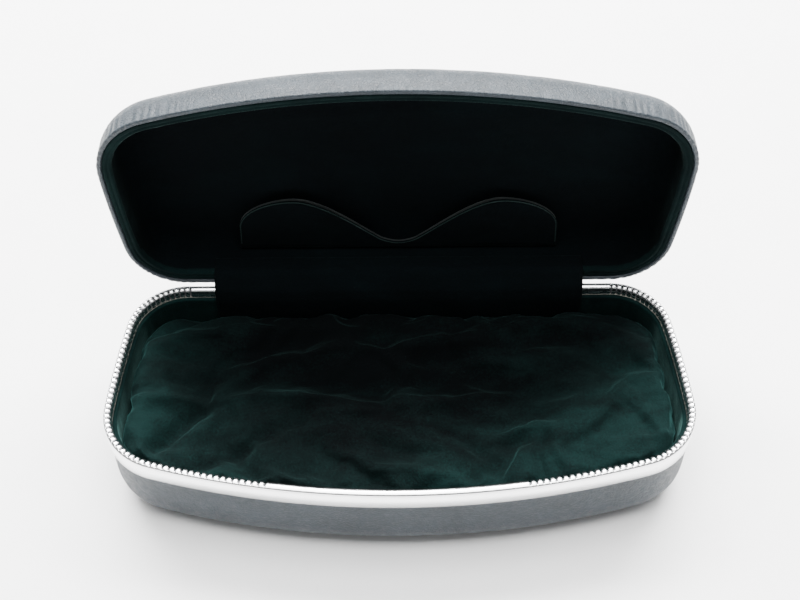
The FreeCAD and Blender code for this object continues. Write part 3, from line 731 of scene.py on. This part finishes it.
# Folds of the pad's loose cover, in mm in plan from the case's middle: each is a run of
# points, its half width, and its height (a crest) or depth (a valley, negative). The points
# were picked on the photograph by hand and turned into millimetres by a scratch script.
FOLDS = [
    ([(-76, 0), (-59, 0), (-48, 1), (-17, -1), (7, -1), (31, 2)], 1.5, 1.1),
    ([(-69, -19), (-60, -10), (-54, -2), (-46, 2)], 2.3, -2.9),
    ([(-57, -23), (-43, -17), (-30, -9), (-21, -4)], 2.4, -2.7),
    ([(-26, -6), (3, -3), (21, -1)], 1.3, 0.8),
    ([(-45, 7), (-40, 11), (-35, 14), (-13, 17), (6, 17), (27, 20)], 1.5, 1.2),
    ([(-58, 9), (-40, 6), (-20, 7), (1, 6), (23, 8), (41, 12)], 3.4, -2.4),
    ([(-71, 16), (-60, 22), (-45, 23)], 1.5, 1.0),
    ([(-65, 14), (-50, 14), (-36, 19), (-20, 22)], 2.2, -1.7),
    ([(-51, 25), (-28, 25), (-4, 23)], 1.3, 0.7),
    ([(-3, 17), (18, 21), (37, 25), (51, 26)], 1.4, 1.0),
    ([(2, 12), (23, 16), (45, 20), (61, 20)], 2.4, -1.8),
    ([(20, 24), (40, 27), (58, 28)], 1.2, 0.7),
    ([(49, -12), (53, -7), (60, 2), (67, -7), (71, -13)], 1.6, 1.1),
    ([(57, 9), (65, 10), (74, 14)], 2.0, -1.6),
    ([(25, -12), (35, -10), (43, -12), (53, -9)], 1.5, 1.2),
    ([(21, -16), (31, -14), (45, -16)], 2.2, -2.0),
    ([(37, -16), (37, -25)], 1.2, -1.5),
    ([(41, -16), (45, -24)], 1.2, 0.9),
    ([(32, -16), (27, -26)], 1.4, 0.8),
    ([(58, -16), (69, -14), (76, -12)], 1.4, 0.8),
    ([(5, -7), (15, -11), (23, -19), (29, -29)], 2.2, -1.6),
    ([(-11, -12), (-1, -17), (11, -19)], 2.0, -1.5),
    ([(-19, -15), (-7, -22), (7, -25), (19, -27)], 1.6, 0.8),
    ([(-59, -26), (-45, -26), (-29, -27), (-13, -30)], 1.7, 0.8),
    ([(-76, -14), (-67, -17), (-59, -24)], 1.6, 0.8),
    ([(61, 1), (67, -12), (68, -19)], 1.5, -1.1),
]


def fold_height(x, y, sharp=False):
    """Height of the folds above the plain pad, in mm; sharp gives only their narrow crests."""
    wx = x + 1.6 * noise.noise(Vector((x * 0.05, y * 0.05, 3.0)))
    wy = y + 1.6 * noise.noise(Vector((x * 0.05, y * 0.05, 8.0)))
    total = 0.0
    for points, width, height in FOLDS:
        best = math.inf
        place_along = 0.0
        done = 0.0
        for (ax, ay), (bx, by) in zip(points[:-1], points[1:]):
            dx, dy = bx - ax, by - ay
            length = math.hypot(dx, dy)
            k = clamp(((wx - ax) * dx + (wy - ay) * dy) / (length * length))
            d = math.hypot(wx - ax - k * dx, wy - ay - k * dy)
            if d < best:
                best = d
                place_along = done + k * length
            done += length
        end = min(place_along, done - place_along)
        taper = 0.25 + 0.75 * min(1.0, end / 7.0)
        wide = width * (0.8 + 0.5 * taper)
        if sharp and height > 0:
            total += height * taper * (math.exp(-(best / (0.55 * wide)) ** 1.4)
                                       - 0.35 * math.exp(-((best - 2.2 * wide) / wide) ** 2))
        elif sharp:
            total += 0.35 * height * taper * math.exp(-(best / (0.5 * wide)) ** 1.5)
        elif height > 0:
            total += height * taper * math.exp(-(best / wide) ** 2)
        else:
            total += height * taper / (1.0 + (best / wide) ** 2.4)
    if sharp:
        rough = noise.noise(Vector((x * 0.12, y * 0.28, 5.0)))
        return total + 0.4 * max(0.0, 0.5 - abs(rough) * 4.0)
    total += 0.75 * fbm(x * 0.045, y * 0.085, 0.0, 3, 21.0)
    ridge = 1.0 - abs(noise.noise(Vector((x * 0.06 + 40, y * 0.17 + 9, 2.0)))) * 2.0
    total += 0.55 * max(0.0, ridge) ** 3
    return total


def pad_solid():
    """Plain closed pad that fills the tray, a little smaller than its CAD solid."""
    low = 3.0
    foot, crown = 7.6, 5.0
    profile = [(INNERMOST, low), (12.2, low)]
    profile += arc_points(PAD_SIDE + foot, low + foot, foot, 270, 180, 8)
    profile += [(PAD_SIDE - 0.1, 13.5)]
    profile += arc_points(PAD_SIDE + crown, PAD_TOP - crown, crown, 180, 90, 10)
    profile += [(13.0, PAD_TOP + 0.05), (INNERMOST, PAD_TOP + 0.1)]
    return sweep("pad_velvet_top", base_place, stations(1.2), profile, cap_start=flat_cap,
                 cap_end=flat_cap)


def apply_modifier(obj, modifier):
    bpy.context.view_layer.objects.active = obj
    obj.select_set(True)
    bpy.ops.object.modifier_apply(modifier=modifier.name)
    obj.select_set(False)


def crumple(obj):
    """A short cloth run in which the cover, grown past its pad, crumples."""
    mesh = obj.data
    before = [v.co.copy() for v in mesh.vertices]
    for v in mesh.vertices:
        v.co *= SIM_SCALE
    held = obj.vertex_groups.new(name="held")
    for index, co in enumerate(before):
        k = clamp((HELD_BELOW - co.z / MM) / 4.0)
        if k > 0.0:
            held.add([index], k, "REPLACE")
    cloth = obj.modifiers.new("crumple", "CLOTH")
    for setting, value in CLOTH.items():
        setattr(cloth.settings, setting, value)
    cloth.settings.vertex_group_mass = held.name
    cloth.settings.effector_weights.gravity = 0.0
    cloth.collision_settings.use_collision = False
    cloth.collision_settings.use_self_collision = False
    cloth.point_cache.frame_start = 1
    cloth.point_cache.frame_end = SIM_FRAMES
    scene = bpy.context.scene
    for frame_number in range(1, SIM_FRAMES + 1):
        scene.frame_set(frame_number)
    graph = bpy.context.evaluated_depsgraph_get()
    result = obj.evaluated_get(graph).to_mesh()
    moved = [v.co / SIM_SCALE for v in result.vertices]
    obj.modifiers.remove(cloth)
    scene.frame_set(1)
    for v, start, end in zip(mesh.vertices, before, moved):
        step = end - start
        if step.length > MOST_MOVE * MM:
            step *= MOST_MOVE * MM / step.length
        v.co = start + step
    obj.vertex_groups.remove(held)
    mesh.update()


def pad():
    obj = pad_solid()
    remesh = obj.modifiers.new("even", "REMESH")
    remesh.mode = "VOXEL"
    remesh.voxel_size = VOXEL
    apply_modifier(obj, remesh)
    mesh = obj.data
    for v in mesh.vertices:
        x, y, z = v.co.x / MM, v.co.y / MM, v.co.z / MM
        lift = clamp((z - 12.0) / 6.0)
        if lift > 0.0:
            v.co.z += SEED_DEPTH * fold_height(x, y) * lift * MM
    mesh.update()
    crumple(obj)
    soften = obj.modifiers.new("soften", "SMOOTH")
    soften.factor = 0.5
    soften.iterations = 1
    apply_modifier(obj, soften)
    split = obj.modifiers.new("fine", "SUBSURF")
    split.levels = 1
    split.render_levels = 1
    apply_modifier(obj, split)
    soft = 1.5
    knee = PAD_CEILING - soft
    # read before the loop: a normal read while vertices move is worked out anew each time
    facing = [v.normal.z for v in mesh.vertices]
    for v in mesh.vertices:
        x, y, z = v.co.x / MM, v.co.y / MM, v.co.z / MM
        lift = clamp((z - 14.0) / 4.0) * max(0.0, facing[v.index])
        if lift > 0.0:
            z += CREST_HEIGHT * lift * fold_height(x, y, sharp=True)
        if z > knee:
            z = knee + soft * math.tanh((z - knee) / soft)
        v.co.z = z * MM
    mesh.update()
    for poly in mesh.polygons:
        poly.use_smooth = True
    paint(obj, PAD_VELVET)
    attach(obj, "base")
    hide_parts("pad_cover")


def foam_core():
    """Foam block inside the pad, lower than its cover."""
    low = 4.0
    top = 15.5
    side = 6.0
    foot, shoulder = 6.4, 2.0
    profile = [(INNERMOST, low), (12.6, low)]
    profile += arc_points(side + foot, low + foot, foot, 270, 180, 6)
    profile += arc_points(side + shoulder, top - shoulder, shoulder, 180, 90, 4)
    profile += [(14.0, top)]

    def dip(x, y, level):
        return level + 0.2 * noise.noise(Vector((x * 0.1, y * 0.1, 1.0)))

    obj = sweep("foam_block", base_place, stations(2.0), profile, cap_start=flat_cap, cap_end=dip)
    paint(obj, FOAM)
    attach(obj, "base")
    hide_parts("pad_foam")


# ------------------------------------------------------------------ lid leatherette
def lid_leather():
    profile = [(1.5, 3.2), (1.42, 2.0), (1.4, 0.9)]
    profile += arc_points(0.98, 0.45, 0.42, 0, -90, 4)
    profile += [(0.75, 0.03)]
    profile += arc_points(0.55, 0.58, 0.55, 270, 180, 5)
    profile += [(0.0, 1.2), (0.0, 2.0), (0.0, 3.0), (0.0, 4.0)]
    profile += arc_points(LID_EDGE_R, LID_D - LID_EDGE_R, LID_EDGE_R, 180, 90, 14)
    profile += [(13.0, LID_D), (INNERMOST, LID_D)]

    def push(s, point, inset, level):
        if in_hinge_pocket(point, inset) and level < POCKET_HEIGHT - 0.05:
            return inset, POCKET_HEIGHT - 0.05
        corner = corner_weight(point.x, point.y)
        ripple = abs(0.1 * fbm(point.x * 0.1, point.y * 0.1, level * 0.2, 3, 31.0))
        fade = max(0.0, 1.0 - level / 9.5)
        gather = pleat(s, 2.3, 17.0)
        if inset > 1.2 and level < 4.0:
            return inset - 0.08 * corner * max(0.0, gather), level
        if inset > 11.0:
            return inset, level
        depth = (0.34 * corner + 0.05) * fade * max(0.0, 0.3 + gather)
        if level < 0.6:
            return inset + depth * 0.4, level + 0.12 * corner * max(0.0, gather)
        return inset + 0.02 + ripple * min(1.0, level / 4.0) + depth, level - 0.04

    obj = sweep("lid_leather", lid_place, stations(0.45), profile, cap_end=flat_cap, push=push)
    paint(obj, LEATHER)
    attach(obj, "lid")
    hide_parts("lid_leatherette")


# ------------------------------------------------------------------- lid lip frame
def lip_frame():
    profile = [(2.7, 3.0), (1.6, 2.4), (1.42, 1.2)]
    profile += arc_points(1.95, 0.82, 0.52, 180, 262, 5)
    profile += [(2.2, 0.3), (2.6, 0.36), (2.85, 0.6), (3.05, 0.46)]
    profile += arc_points(3.2, 1.2, 0.8, 290, 360, 5)
    profile += [(4.0, 2.2), (4.0, 3.2), (4.0, 4.2), (4.0, 5.2)]
    profile += arc_points(10.5, 5.9, 6.5, 180, 122, 8)

    def push(s, point, inset, level):
        if inset < 1.7:
            return inset, level
        soft = 0.2 * fbm(point.x * 0.08, point.y * 0.08, level * 0.1, 3, 41.0)
        fold = 0.14 * corner_weight(point.x, point.y) * pleat(s, 4.4, 23.0)
        if level < 1.0:
            return inset, level + abs(soft) * 0.4
        return inset + soft + fold, level

    obj = sweep("lip_velvet_frame", lid_place, stations(1.0), profile, push=push)
    paint(obj, LIP_VELVET)
    obj.data.materials.append(LID_VELVET_SHADED)
    # painted shade: the inner wall of the lip, which lies in shade, gets the panel's darkened
    # velvet
    front = lid_place(0, 0, 1.9).y
    for poly in obj.data.polygons:
        poly.material_index = 1 if poly.center.y > front else 0
    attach(obj, "lid")
    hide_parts("lid_lip_frame")


def lid_panel():
    """Velvet sheet over the lid's inside, drawn down into the corners."""
    floor = LID_D - 2.8
    profile = arc_points(10.5, 5.9, 6.5, 126, 90, 5) + [(13.0, floor), (INNERMOST, floor)]

    def sag(x, y, level):
        edge = max(0.0, 1.0 - (x / 66.0) ** 2) * max(0.0, 1.0 - ((y + 35.7) / 26.0) ** 2)
        wave = 0.5 * fbm(x * 0.035, y * 0.06, 0.0, 3, 51.0)
        return level - 0.35 * edge - 0.2 * (wave + 0.6) * min(1.0, edge * 3)

    obj = sweep("lid_velvet_panel", lid_place, stations(1.4), profile, cap_end=sag)
    paint(obj, LID_VELVET_SHADED)
    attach(obj, "lid")
    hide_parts("lid_lining_velvet")


# ----------------------------------------------------------------- pocket flap
FLAP_FOOT = -5.8  # where the flap's foot lies, from the back of the outline


def bezier(points, t):
    work = [Vector(p) for p in points]
    while len(work) > 1:
        work = [a.lerp(b, t) for a, b in zip(work[:-1], work[1:])]
    return work[0]


def flap_edge():
    """Humped edge of the flap, left to right, in mm on the lid's own floor."""
    half = 45.3
    hump_x, hump_y, dip_y = 29.3, -24.6, -7.6
    left = [Vector((-half - 0.4, FLAP_FOOT)).lerp(Vector((-half, hump_y + 10)), k / 5)
            for k in range(5)]
    shoulder = [(-half, hump_y + 10), (-half + 0.5, hump_y + 4), (-hump_x - 7, hump_y),
                (-hump_x, hump_y)]
    slope = [(-hump_x, hump_y), (-hump_x + 8, hump_y), (-11.5, dip_y - 6.5), (-5, dip_y - 1.5)]
    dip = [(-5, dip_y - 1.5), (-2.5, dip_y - 0.1), (0, dip_y)]
    left += [bezier(shoulder, k / 14) for k in range(14)]
    left += [bezier(slope, k / 18) for k in range(18)]
    left += [bezier(dip, k / 5) for k in range(6)]
    return left + [Vector((-p.x, p.y)) for p in reversed(left[:-1])]


def flap_level(x, y):
    """The flap stands a little proud, soft in the middle, and dips with its humps."""
    lean = 0.35 * noise.noise(Vector((x * 0.05, y * 0.08, 61.0)))
    hump = 0.5 * math.exp(-((abs(x) - 24.0) / 12.0) ** 2) * clamp((-y - 6) / 12)
    return 8.85 - hump + lean * 0.5


def thicken(obj, thickness):
    """Gives a sheet its thickness, half to each side."""
    solid = obj.modifiers.new("thick", "SOLIDIFY")
    solid.thickness = thickness
    solid.offset = 0.0


def flap():
    edge = flap_edge()
    rows = 14
    lip_rise = 0.3
    verts = []
    for p in edge:
        foot = Vector((p.x * 0.999, FLAP_FOOT))
        for k in range(rows + 1):
            q = foot.lerp(p, k / rows)
            z = flap_level(q.x, q.y)
            if k == rows:
                z += lip_rise
            verts.append(lid_place(q.x, q.y, z))
    obj = make_object("flap_velvet_face", verts, grid_faces(len(edge) - 1, rows + 1))
    thicken(obj, 0.0004)
    paint(obj, LID_VELVET_SHADED)
    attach(obj, "lid")
    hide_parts("pocket_velvet")


def flap_edging():
    """Thin light edging along the humped edge."""
    edge = flap_edge()[1:-1]
    sides = 8
    verts = []
    for i, p in enumerate(edge):
        before = edge[max(0, i - 1)]
        after = edge[min(len(edge) - 1, i + 1)]
        along = (after - before).normalized()
        out = Vector((along.y, -along.x))
        wobble = 0.04 * math.sin(i * 2.1)
        for k in range(sides):
            a = 2 * math.pi * k / sides
            q = p + out * ((0.15 + wobble * 0.3) * math.cos(a) - 0.2)
            z = flap_level(q.x, q.y) - 0.1 + 0.16 * math.sin(a)
            verts.append(lid_place(q.x, q.y, z))
    faces = grid_faces(len(edge) - 1, sides, closed=True)
    faces.append(tuple(range(sides)))
    last = (len(edge) - 1) * sides
    faces.append(tuple(last + k for k in range(sides)))
    obj = make_object("flap_edge_cord", verts, faces)
    paint(obj, EDGE_MAT)
    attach(obj, "lid")
    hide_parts("pocket_edging")


def gussets():
    """A folded velvet strip at each end of the pocket ties the flap's board to the lining."""
    rows, turns = 8, 12
    start, length = -10.9, 4.4
    middle, half_thick = 44.7, 0.24
    floor_level, rise = 9.9, 2.6
    for side, word in ((-1, "left"), (1, "right")):
        verts = []
        for r in range(rows + 1):
            y = start - length * r / rows
            for t in range(turns):
                a = 2 * math.pi * t / turns
                k = t / (turns / 2.0) if t <= turns / 2 else 2.0 - t / (turns / 2.0)
                z = floor_level + rise * k
                fold = 0.14 * math.sin(math.pi * k * 2 + 0.4 * r)
                x = middle + half_thick * math.sin(a) + fold
                verts.append(lid_place(side * x, y, z))
        faces = grid_faces(rows, turns, closed=True)
        faces.append(tuple(range(turns)))
        faces.append(tuple(rows * turns + t for t in range(turns)))
        obj = make_object("pocket_gusset_" + word, verts, faces)
        paint(obj, LID_VELVET_SHADED)
        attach(obj, "lid")
        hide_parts("pocket_side_" + word)


# -------------------------------------------------------------- velvet hinge strip
def smooth_path(points, count):
    """count + 1 points on a Catmull-Rom curve through the given ones."""
    fine = []
    for i in range(count + 1):
        u = i / count * (len(points) - 1)
        a = min(int(u), len(points) - 2)
        k = u - a
        p0 = points[max(0, a - 1)]
        p1, p2 = points[a], points[a + 1]
        p3 = points[min(len(points) - 1, a + 2)]
        fine.append(0.5 * ((2 * p1) + (p2 - p0) * k + (2 * p0 - 5 * p1 + 4 * p2 - p3) * k * k
                           + (3 * p1 - p0 - 3 * p2 + p3) * k * k * k))
    return fine


def hinge_strip():
    """One velvet strip glued inside both halves; it hides the hinge and is built in its bent shape
    for the open lid.
    """
    half = 53.0
    base_back = HALF_DEPTH - 3.3
    path = [Vector((base_back - 0.55, 13.0)), Vector((base_back - 0.6, 18.0)),
            Vector((base_back - 0.7, 23.0)), Vector((base_back - 0.7, 26.5)),
            Vector((base_back - 0.2, 28.8))]
    lip = lid_place(0, -4.45, 0.8) / MM
    wall = lid_place(0, -4.5, 2.6) / MM
    foot = lid_place(0, -4.55, 4.2) / MM
    end = lid_place(0, -4.4, 5.7) / MM
    path += [Vector((lip.y - 4.0, lip.z - 3.9)), Vector((lip.y - 2.5, lip.z - 2.0)),
             Vector((lip.y - 0.9, lip.z - 0.4)), Vector((lip.y + 0.4, lip.z + 0.2)),
             Vector((wall.y, wall.z)), Vector((foot.y, foot.z)), Vector((end.y, end.z))]
    count, columns = 40, 88
    fine = smooth_path(path, count)
    verts = []
    for i, p in enumerate(fine):
        before = fine[max(0, i - 1)]
        after = fine[min(count, i + 1)]
        along = (after - before).normalized()
        out = Vector((-along.y, along.x))
        for c in range(columns + 1):
            x = -half + 2 * half * c / columns
            middle = math.sin(math.pi * i / count)
            wave = 0.45 * middle * noise.noise(Vector((x * 0.06, i * 0.05, 71.0)))
            edge = 0.35 * middle * max(0.0, (abs(x) - 50.5) / 2.5)
            q = p + out * (wave - edge + 0.15 * middle)
            verts.append(Vector((x * MM, q.x * MM, q.y * MM)))
    obj = make_object("hinge_velvet_strip", verts, grid_faces(count, columns + 1))
    thicken(obj, 0.0005)
    paint(obj, LID_VELVET_SHADED)
    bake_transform(obj)
    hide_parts("hinge_cover_base", "hinge_cover_lid")


base_leather()
rim()
wall_lining()
pad()
foam_core()
lid_leather()
lip_frame()
lid_panel()
flap()
flap_edging()
gussets()
hinge_strip()


# ------------------------------------------------------------- floor, light, camera
def floor():
    reach = 3.0
    just_under = -0.00005
    verts = [(-reach, -reach, 0), (reach, -reach, 0), (reach, reach, 0), (-reach, reach, 0)]
    mesh = bpy.data.meshes.new("studio_floor")
    mesh.from_pydata(verts, [], [(0, 1, 2, 3)])
    obj = bpy.data.objects.new("studio_floor", mesh)
    bpy.context.scene.collection.objects.link(obj)
    obj.location.z = just_under
    paint(obj, FLOOR)


def softbox(name, location, target, size, power):
    data = bpy.data.lights.new(name, "AREA")
    data.shape = "RECTANGLE"
    data.size = size[0]
    data.size_y = size[1]
    data.energy = power
    obj = bpy.data.objects.new(name, data)
    obj.location = location
    aim = (Vector(target) - Vector(location)).normalized()
    obj.rotation_euler = aim.to_track_quat("-Z", "Y").to_euler()
    bpy.context.scene.collection.objects.link(obj)


def white_world():
    world = bpy.data.worlds.new("studio")
    world.use_nodes = True
    background = world.node_tree.nodes["Background"]
    background.inputs["Color"].default_value = (1.0, 1.0, 1.0, 1)
    background.inputs["Strength"].default_value = 0.36
    bpy.context.scene.world = world


def camera():
    """Looks down at the open case from the front."""
    elevation = math.radians(50.0)
    yaw = math.radians(0.035)
    roll = math.radians(0.464)
    distance = 0.38
    lens_mm, sensor_mm = 57.9915, 36.0
    target = Vector((0.00033, HALF_DEPTH * MM, (BASE_H - 7.636) * MM))
    back = Vector((math.sin(yaw) * math.cos(elevation), -math.cos(yaw) * math.cos(elevation),
                   math.sin(elevation)))
    right = Vector((math.cos(yaw), math.sin(yaw), 0.0))
    up = back.cross(right)
    cam_x = right * math.cos(roll) - up * math.sin(roll)
    cam_y = right * math.sin(roll) + up * math.cos(roll)
    data = bpy.data.cameras.new("view")
    data.sensor_width = sensor_mm
    data.lens = lens_mm
    data.clip_start = 0.01
    obj = bpy.data.objects.new("view", data)
    turn = Matrix((cam_x, cam_y, back)).transposed().to_4x4()
    obj.matrix_world = Matrix.Translation(target + back * distance) @ turn
    bpy.context.scene.collection.objects.link(obj)
    bpy.context.scene.camera = obj


floor()
softbox("overhead", (0.0, 0.62, 0.80), (0, 0.02, 0.03), (1.3, 0.55), 88.0)
softbox("top_soft", (0.0, -0.05, 1.05), (0, 0.0, 0.03), (0.9, 0.7), 27.0)
softbox("front_fill", (-0.5, -0.85, 0.45), (0, 0, 0.03), (0.7, 0.4), 0.4)
white_world()
camera()
